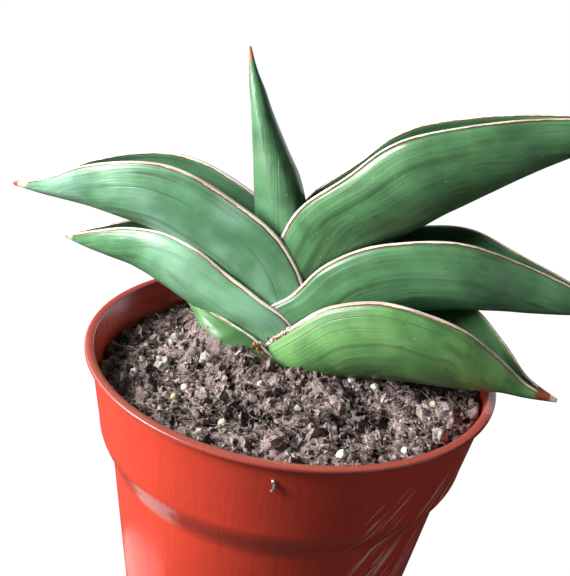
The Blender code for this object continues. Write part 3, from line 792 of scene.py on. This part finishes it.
def leaf_ring(rows, along, seed, swell):
    """One ring of a leaf in its own upright plane: up the channel, over the bead, round the
    outside, over the other bead and back down."""
    out_k, up_k, out_m, up_m, half = (value * MM for value in smooth_row(rows, along))
    wave = noise.noise(Vector((along * 9, seed, 0))) * MARGIN_WAVE * MM * min(1, 5 * (1 - along))
    keel = Vector((out_k, 0, up_k))
    rise = Vector((out_m, 0, up_m + wave)) - keel
    up = rise.normalized()
    depth = max(rise.length, 0.1 * MM)
    side = Vector((0, 1, 0))
    edge = min(EDGE_THICKNESS, half * EDGE_SHARE)
    bead = edge / 2
    belly = half * (BELLY_BASE + BELLY_MIDDLE * sin(pi * along))
    closing = min(1.0, (1 - along) / CHANNEL_END)
    channel = (CHANNEL_BASE - CHANNEL_MIDDLE * sin(pi * along)) * closing
    if swell:
        keel -= up * swell
        half += swell
        depth += 2 * swell
        channel = 0
    top = 1 - bead / depth * closing

    def inner(angle):
        across = (half - edge) * cos(angle) + INNER_BELLY * belly * sin(2 * angle) * channel
        height = top - channel * sin(angle) ** ROUNDNESS * top
        return keel + up * depth * height + side * across

    def outer(share):
        eased = share - EVENING * sin(tau * share)
        angle = pi * eased
        across = half * cos(angle) + belly * sin(2 * angle)
        height = top * (1 - sin(angle) ** ROUNDNESS)
        point = keel + up * depth * height + side * across
        centre = keel + up * depth * 0.5
        outward = (point - centre).normalized()
        below = min(share, 1 - share)
        crease = exp(-((below - LINE_PLACE) / LINE_WIDTH) ** 2) * LINE_DEPTH * MM
        furrow = noise.noise(Vector((share * 22, along * 2.2, seed))) * FURROW_DEPTH
        dent = noise.noise(Vector((share * 3, along * 11, seed + 5))) * DENT_DEPTH
        soft = min(1.0, half / (4 * MM)) * min(1.0, below * 12)
        return point + outward * ((furrow + dent) * MM * soft - crease * min(1.0, half / (3 * MM)))

    points = [inner(pi / 2 * (1 - i / INNER_STEPS)) for i in range(INNER_STEPS)]
    middle = keel + up * depth * top
    arch = [pi * i / BEAD_STEPS for i in range(BEAD_STEPS)]
    points += [middle + side * (half - bead - bead * cos(turn)) + up * bead * sin(turn) * closing
               for turn in arch]
    points += [outer(i / OUTER_STEPS) for i in range(OUTER_STEPS)]
    points += [middle - side * (half - bead + bead * cos(turn)) + up * bead * sin(turn) * closing
               for turn in arch]
    points += [inner(pi / 2 + pi / 2 * (1 - i / INNER_STEPS)) for i in range(INNER_STEPS + 1)]
    return points


def crest_distances(points):
    """How far each point of a ring is from the nearer bead's crest: outside above zero."""
    runs = [0.0]
    for a, b in zip(points, points[1:]):
        runs.append(runs[-1] + (b - a).length)
    first = runs[INNER_STEPS + BEAD_STEPS // 2]
    second = runs[INNER_STEPS + BEAD_STEPS + OUTER_STEPS + BEAD_STEPS // 2]
    return [min(run - first, second - run) for run in runs]


def leaf_mesh(turn, rows, seed, swell=0.0):
    """Roll a grid into the leaf, close its two ends, and note what its skin needs to know."""
    place = Matrix.Translation((CROWN_X, CROWN_Y, SEAT)) @ Matrix.Rotation(radians(turn), 4, "Z")
    if cos(radians(turn)) < 0:
        place = place @ Matrix.Scale(-1, 4, (0, 1, 0))
    rings_wanted = RINGS if not swell else SPACE_RINGS
    bm = bmesh.new()
    bmesh.ops.create_grid(bm, x_segments=AROUND, y_segments=rings_wanted, size=0.5)
    along_layer = bm.verts.layers.float.new("along")
    crest_layer = bm.verts.layers.float.new("crest")
    grain_layer = bm.verts.layers.float_vector.new("grain")
    rings = []
    length = 0.0
    last_keel = None
    for j in range(rings_wanted + 1):
        along = j / rings_wanted
        points = leaf_ring(rows, along, seed, swell)
        keel = points[AROUND // 2]
        length += (keel - last_keel).length if last_keel else 0.0
        last_keel = keel
        rings.append((points, crest_distances(points), length))
    for vert in bm.verts:
        i = round((vert.co.x + 0.5) * AROUND)
        j = round((vert.co.y + 0.5) * rings_wanted)
        points, crests, run = rings[j]
        vert[along_layer] = j / rings_wanted
        vert[crest_layer] = crests[i]
        vert[grain_layer] = Vector((run, crests[i], points[i].y))
        low = Vector((0, 0, 2 * swell if j == 0 else 0))
        vert.co = place @ (points[i] - low)
    return close_up(bm, 0.004 * MM)


# metres from the crest of a bead, below zero on the channel's side
CHANNEL_SHADE = (-0.0009, -0.0022)
BEAD_HALF_WIDTHS = (0.00125, 0.00070)
BROWN_LINE = (-0.00006, 0.00006, 0.00022, 0.00060)
SCAR_PLACE = 0.0017


def waxy_skin():
    """Waxy green with bands across and furrows along it, its bead, its scar and its point."""
    group, given, result = new_effect("waxy_skin", {
        "Deep": (0.07, 0.17, 0.08), "Light": (0.14, 0.30, 0.14), "Bloom And Sheen": (0.26, 0.46, 0.38),
        "Bloom Share": 0.08, "Seed": 1.0, "Bead Share": 1.0, "Scar At": -1.0, "Point From": 0.97,
        "Point": (0.42, 0.12, 0.045), "End From": 0.985, "End": (0.42, 0.12, 0.045),
    }, ("Color", "Roughness", "Height"))
    along = noted(group, "along")
    crest = noted(group, "crest")
    grain = noted(group, "grain", "Vector")
    at = own_place(group)
    seed = place_node(group, "ShaderNodeCombineXYZ", {"X": given["Seed"], "Y": given["Seed"],
                                                      "Z": given["Seed"]}).outputs[0]
    shifted = place_node(group, "ShaderNodeVectorMath", {0: grain, 1: seed},
                         operation="ADD").outputs[0]

    def drawn(factors, detail=1.0, roughness=0.5):
        return grainy(group, stretched(group, shifted, factors), 1.0, detail, roughness)

    def times(*values):
        return sums(group, "MULTIPLY", *values)

    bands = drawn((95, 30, 30), 2.0)
    clouds = grainy(group, at, 110, 3.0, 0.55)
    patches = grainy(group, at, 55, 2.0)
    furrows = drawn((7, 330, 330))
    fine = drawn((60, 1300, 1300), 2.0)
    tone = sums(group, "ADD", times(bands, 0.5), times(clouds, 0.5))
    colour = tint(group, given["Deep"], given["Light"], ramp(group, tone, 0.34, 0.66))
    # pale bluish patches: a waxy bloom, and painted sheen where a leaf's share is raised
    colour = tint(group, colour, given["Bloom And Sheen"], times(ramp(group, patches, 0.42, 0.66),
                                                       given["Bloom Share"]))
    shaded = (0.018, 0.045, 0.020)
    colour = tint(group, colour, shaded, ramp(group, furrows, 0.54, 0.76, 0.0, 0.50))
    colour = tint(group, colour, shaded, ramp(group, fine, 0.5, 0.85, 0.0, 0.20))
    channel = ramp(group, crest, *CHANNEL_SHADE)
    colour = tint(group, colour, (0.026, 0.078, 0.038), times(channel, 0.6))
    # a few long thin creases, drawn where a slow noise crosses its middle
    waver = sums(group, "ABSOLUTE", sums(group, "SUBTRACT", drawn((2.5, 260, 0)), 0.5))
    crease = times(ramp(group, waver, 0.016, 0.002), ramp(group, drawn((38, 90, 0)), 0.52, 0.66))
    colour = tint(group, colour, shaded, times(crease, 0.5))
    specks = ramp(group, grainy(group, at, 900, 2.0, 0.6), 0.72, 0.77)
    colour = tint(group, colour, (0.55, 0.66, 0.52), times(specks, 0.5))
    nicks = ramp(group, drawn((420, 1000, 1000)), 0.76, 0.80)
    colour = tint(group, colour, (0.05, 0.045, 0.02), times(nicks, 0.7))
    # the bead narrows and grows ragged on its way out, with a line of brown on each side of it
    ragged = times(sums(group, "SUBTRACT", grainy(group, at, 600, 2.0), 0.5), 0.0005)
    out = sums(group, "ABSOLUTE", sums(group, "ADD", crest, ragged))
    reach = ramp(group, along, 0.10, 0.75, *BEAD_HALF_WIDTHS)
    uneven = sums(group, "SUBTRACT", drawn((160, 20, 20), 2.0), 0.5)
    reach = sums(group, "ADD", reach, times(uneven, 0.0009))
    reach = times(reach, given["Bead Share"])
    past = sums(group, "SUBTRACT", out, reach)
    line = between(group, past, *BROWN_LINE)
    broken = ramp(group, drawn((120, 30, 30), 2.0), 0.34, 0.50, 0.25, 1.0)
    colour = tint(group, colour, (0.13, 0.030, 0.018), times(line, times(broken, 0.9)))
    bead = ramp(group, past, 0.00007, -0.00007)
    stain = ramp(group, drawn((90, 900, 900), 2.0), 0.46, 0.66)
    lilac = sums(group, "ADD", ramp(group, drawn((70, 300, 300), 2.0), 0.50, 0.62),
                 ramp(group, along, 0.36, 0.16), clamp=True)
    cream = tint(group, (0.70, 0.64, 0.53), (0.54, 0.51, 0.54), times(lilac, 0.7))
    cream = tint(group, cream, (0.40, 0.17, 0.095), times(stain, 0.65))
    colour = tint(group, colour, cream, bead)
    # the scar is a short pale line beside the bead
    from_scar = sums(group, "ABSOLUTE", sums(group, "SUBTRACT", along, given["Scar At"]))
    beside = sums(group, "ABSOLUTE", sums(group, "SUBTRACT", crest, SCAR_PLACE))
    scar = times(ramp(group, from_scar, 0.06, 0.03), ramp(group, beside, 0.00045, 0.00025))
    colour = tint(group, colour, cream, scar)
    # the horny point, in two colours
    edge_wave = times(sums(group, "SUBTRACT", grainy(group, at, 700, 2.0), 0.5), 0.02)
    reached = sums(group, "ADD", along, edge_wave)
    into_point = sums(group, "SUBTRACT", reached, given["Point From"])
    colour = tint(group, colour, given["Point"], ramp(group, into_point, 0.0, 0.012))
    into_end = sums(group, "SUBTRACT", reached, given["End From"])
    colour = tint(group, colour, given["End"], ramp(group, into_end, 0.0, 0.008))
    group.links.new(colour, result["Color"])
    group.links.new(sums(group, "ADD", ramp(group, fine, 0.3, 0.7, 0.33, 0.45), times(bead, 0.16)),
                    result["Roughness"])
    height = sums(group, "ADD", times(furrows, 0.8), times(fine, 0.35))
    group.links.new(sums(group, "SUBTRACT", height, times(crease, 0.35)), result["Height"])
    return group


WAXY_SKIN = waxy_skin()

# each leaf's two greens, and how it differs from the common skin in its bloom, bead, scar or point
LEAF_TONES = {
    # painted shade: this low leaf's greens are darkened
    "leaf_left_lower": {
        "Deep": (0.055, 0.145, 0.052), "Light": (0.115, 0.265, 0.095), "Seed": 1.1,
        "Bead Share": 0.75, "Bloom Share": 0.04},
    "leaf_right_lower": {
        "Deep": (0.062, 0.178, 0.052), "Light": (0.150, 0.350, 0.106), "Seed": 2.3,
        "Bloom Share": 0.04, "Point From": 0.925, "Point": (0.25, 0.050, 0.030),
        "End From": 0.965, "End": (0.56, 0.42, 0.29)},
    # painted sheen: a raised bloom share, pale and bluish
    "leaf_left_middle": {
        "Deep": (0.072, 0.20, 0.092), "Light": (0.155, 0.37, 0.175), "Seed": 3.7,
        "Bloom Share": 0.4, "Point From": 0.955, "Point": (0.66, 0.60, 0.48), "End From": 0.985,
        "End": (0.50, 0.24, 0.15)},
    # painted shade: darkened greens
    "leaf_right_middle": {
        "Deep": (0.048, 0.145, 0.061), "Light": (0.096, 0.252, 0.108), "Seed": 4.9,
        "Bead Share": 0.85},
    # painted sheen: a raised bloom share, pale and bluish
    "leaf_left_upper": {
        "Deep": (0.070, 0.195, 0.095), "Light": (0.150, 0.36, 0.185), "Seed": 5.5,
        "Bloom Share": 0.4, "Point From": 0.935, "Point": (0.74, 0.58, 0.50), "End From": 0.968,
        "End": (0.45, 0.090, 0.050)},
    # painted shade: darkened greens
    "leaf_right_upper": {
        "Deep": (0.049, 0.145, 0.058), "Light": (0.102, 0.262, 0.106), "Seed": 6.2,
        "Bead Share": 0.8, "Scar At": 0.53},
    "leaf_centre": {
        "Deep": (0.040, 0.125, 0.054), "Light": (0.098, 0.252, 0.112), "Seed": 7.4,
        "Bead Share": 0.3, "Point From": 0.915, "Point": (0.46, 0.130, 0.060)},
}

LEAF_GAP = 0.12 * MM
leaf_pieces = {}
leaf_cutters = {}
for node, (turn, rows) in LEAF_SECTIONS.items():
    skin = coated(node + "_skin", WAXY_SKIN, LEAF_TONES[node], 0.4, 0.5, 0.5, 0.5 * MM)
    seed = LEAF_TONES[node]["Seed"]
    blade = leaf_mesh(turn, rows, seed)
    leaf_pieces[node] = new_piece(node + "_blade", blade, skin, [node], 180)
    leaf_cutters[node] = hidden_shape(node + "_space", leaf_mesh(turn, rows, seed, LEAF_GAP))
# an outer leaf is hollowed for each younger one that it clasps
order = list(LEAF_SECTIONS)
for place, node in enumerate(order):
    cut_away(leaf_pieces[node], [leaf_cutters[younger] for younger in order[place + 1:]])
for cutter in leaf_cutters.values():
    bpy.data.objects.remove(cutter)


# ------------------------------------------------------------------ torn leaf base
# Where the lowest left-hand leaf has been torn from the stem, a frayed strip of dried skin is left
# between the leaves, peach-white above and red-brown down at the mix.

# in millimetres
FRAY_SPREAD = 0.35
FRAY_LIFT = 0.12
FRAY_FLATNESS = 0.35  # a share of its width
FRAY_SEAT = [BVHTree.FromObject(leaf_pieces[name], bpy.context.evaluated_depsgraph_get())
             for name in ("leaf_left_lower", "leaf_right_lower", "leaf_left_middle")]


def frayed_strip(route, count, smallest, largest):
    """Shreds of skin strewn along a route (in millimetres) over the leaves' outsides."""
    bm = bmesh.new()
    for i in range(count):
        share = (i + dice.random()) / count * (len(route) - 1)
        step = min(int(share), len(route) - 2)
        spot = Vector(route[step]).lerp(Vector(route[step + 1]), share - step) * MM
        spot += Vector([dice.uniform(-FRAY_SPREAD, FRAY_SPREAD) for _ in range(3)]) * MM
        hits = [tree.find_nearest(spot) for tree in FRAY_SEAT]
        near, outward, _, _ = min(hits, key=lambda hit: hit[3])
        lump(bm, near + outward * FRAY_LIFT * MM, dice.uniform(smallest, largest), 1.1, 2,
             FRAY_FLATNESS)
    return bm


skin_tones = {"Low": (0.50, 0.22, 0.13), "High": (0.80, 0.70, 0.60), "Fineness": 900.0}
shred_tones = {"Low": (0.22, 0.050, 0.025), "High": (0.55, 0.27, 0.15), "Fineness": 700.0}
dried_skin = coated("dried_skin", MOTTLING, skin_tones, 0.8, 0.3, 0.7, 0.3 * MM)
red_shreds = coated("red_shreds", MOTTLING, shred_tones, 0.7, 0.3, 0.7, 0.3 * MM)
new_piece("torn_skin", frayed_strip([(-10.8, -6, 98.4), (-8.2, -6, 99.4), (-5.1, -6, 101.7),
                                     (-1.5, -6, 105.0)], 60, 0.20 * MM, 0.5 * MM),
          dried_skin, crease=60)
new_piece("torn_stub", frayed_strip([(-10.8, -6.5, 98.4), (-7.5, -7.2, 96.0), (-2.7, -8.6, 92.6)],
                                    46, 0.22 * MM, 0.55 * MM), red_shreds, crease=60)


# ------------------------------------------------------------------ studio
# A floor and sky that are white to the camera but light the plant little, a window on the left
# with a second behind it, weak fills from the right and the rear, and a camera that looks down on
# the rim.

SUNLIT_STRENGTH = 1.0
SUNLIT_NARROWING = 2.1
SUNLIT_SPOT = (-0.063 * SUNLIT_NARROWING, -0.012, 0.0)
SUNLIT_REACH = 0.034
FLOOR_HALF_WIDTH = 6


def pale_floor():
    """Pure white to the eye; in the pot's gloss it is dark but for a sunlit patch by its foot."""
    made, tree, shader = new_finish("pale_floor", 0.9, 0.1)
    path = tree.nodes.new("ShaderNodeLightPath").outputs
    at = own_place(tree)
    narrowed = stretched(tree, at, (SUNLIT_NARROWING, 1, 1))
    away = place_node(tree, "ShaderNodeVectorMath", {0: narrowed, 1: SUNLIT_SPOT},
                      operation="DISTANCE").outputs["Value"]
    ragged = sums(tree, "ADD", away, sums(tree, "MULTIPLY", grainy(tree, at, 60, 2.0), 0.012))
    patch = sums(tree, "MULTIPLY", ramp(tree, ragged, SUNLIT_REACH + 0.004, SUNLIT_REACH - 0.002),
                 path["Is Glossy Ray"])
    shader.inputs["Base Color"].default_value = (0.06, 0.056, 0.053, 1)
    shader.inputs["Emission Color"].default_value = (1, 1, 1, 1)
    glow = sums(tree, "ADD", path["Is Camera Ray"], sums(tree, "MULTIPLY", patch, SUNLIT_STRENGTH))
    tree.links.new(glow, shader.inputs["Emission Strength"])
    return made


floor_bm = bmesh.new()
bmesh.ops.create_grid(floor_bm, x_segments=1, y_segments=1, size=FLOOR_HALF_WIDTH)
floor_mesh = bpy.data.meshes.new("floor")
floor_bm.to_mesh(floor_mesh)
floor_bm.free()
floor_mesh.materials.append(pale_floor())
floor = in_scene("floor", floor_mesh)


def soft_light(name, place, aim, width, height, power, colour):
    """A flat soft light that stands at a place and faces another."""
    lamp = bpy.data.lights.new(name, "AREA")
    lamp.shape = "RECTANGLE"
    lamp.size = width
    lamp.size_y = height
    lamp.energy = power
    lamp.color = colour
    holder = in_scene(name, lamp)
    holder.location = place
    holder.rotation_euler = (Vector(aim) - Vector(place)).to_track_quat("-Z", "Y").to_euler()
    holder.visible_camera = False


soft_light("window", (-0.41, -0.13, 0.31), (0, 0, 0.10), 0.26, 0.22, 6.9, (1.0, 0.985, 0.96))
soft_light("back_window", (-0.40, 0.30, 0.42), (0, 0, 0.12), 0.4, 0.3, 1.6, (0.86, 0.96, 1.0))
soft_light("right_fill", (0.45, -0.24, 0.13), (0, 0, 0.06), 0.40, 0.26, 0.40, (1.0, 0.99, 0.98))
soft_light("rear_fill", (0.24, 0.45, 0.22), (0, 0, 0.10), 0.50, 0.30, 0.85, (0.95, 0.98, 1.0))

SKY_LIGHT = 0.055
SKY_SEEN = 1.15
world = bpy.data.worlds.new("studio")
bpy.context.scene.world = world
world.use_nodes = True
sky = world.node_tree.nodes["Background"]
sky.inputs["Color"].default_value = (0.93, 0.96, 1.0, 1)
seen_directly = world.node_tree.nodes.new("ShaderNodeLightPath").outputs["Is Camera Ray"]
world.node_tree.links.new(ramp(world.node_tree, seen_directly, 0, 1, SKY_LIGHT, SKY_SEEN),
                          sky.inputs["Strength"])

view = bpy.context.scene.view_settings
view.view_transform = "Standard"
view.look = "None"

CAMERA_PLACE = (0, -0.2122, POT_TOP + 0.1105)
CAMERA_TURN = (66.087, -7.509, 4.508)  # degrees
camera_data = bpy.data.cameras.new("camera")
camera_data.lens = 55.14
camera_data.sensor_width = 36
camera_data.clip_start = 0.01
camera = in_scene("camera", camera_data)
camera.location = CAMERA_PLACE
camera.rotation_euler = [radians(angle) for angle in CAMERA_TURN]
bpy.context.scene.camera = camera
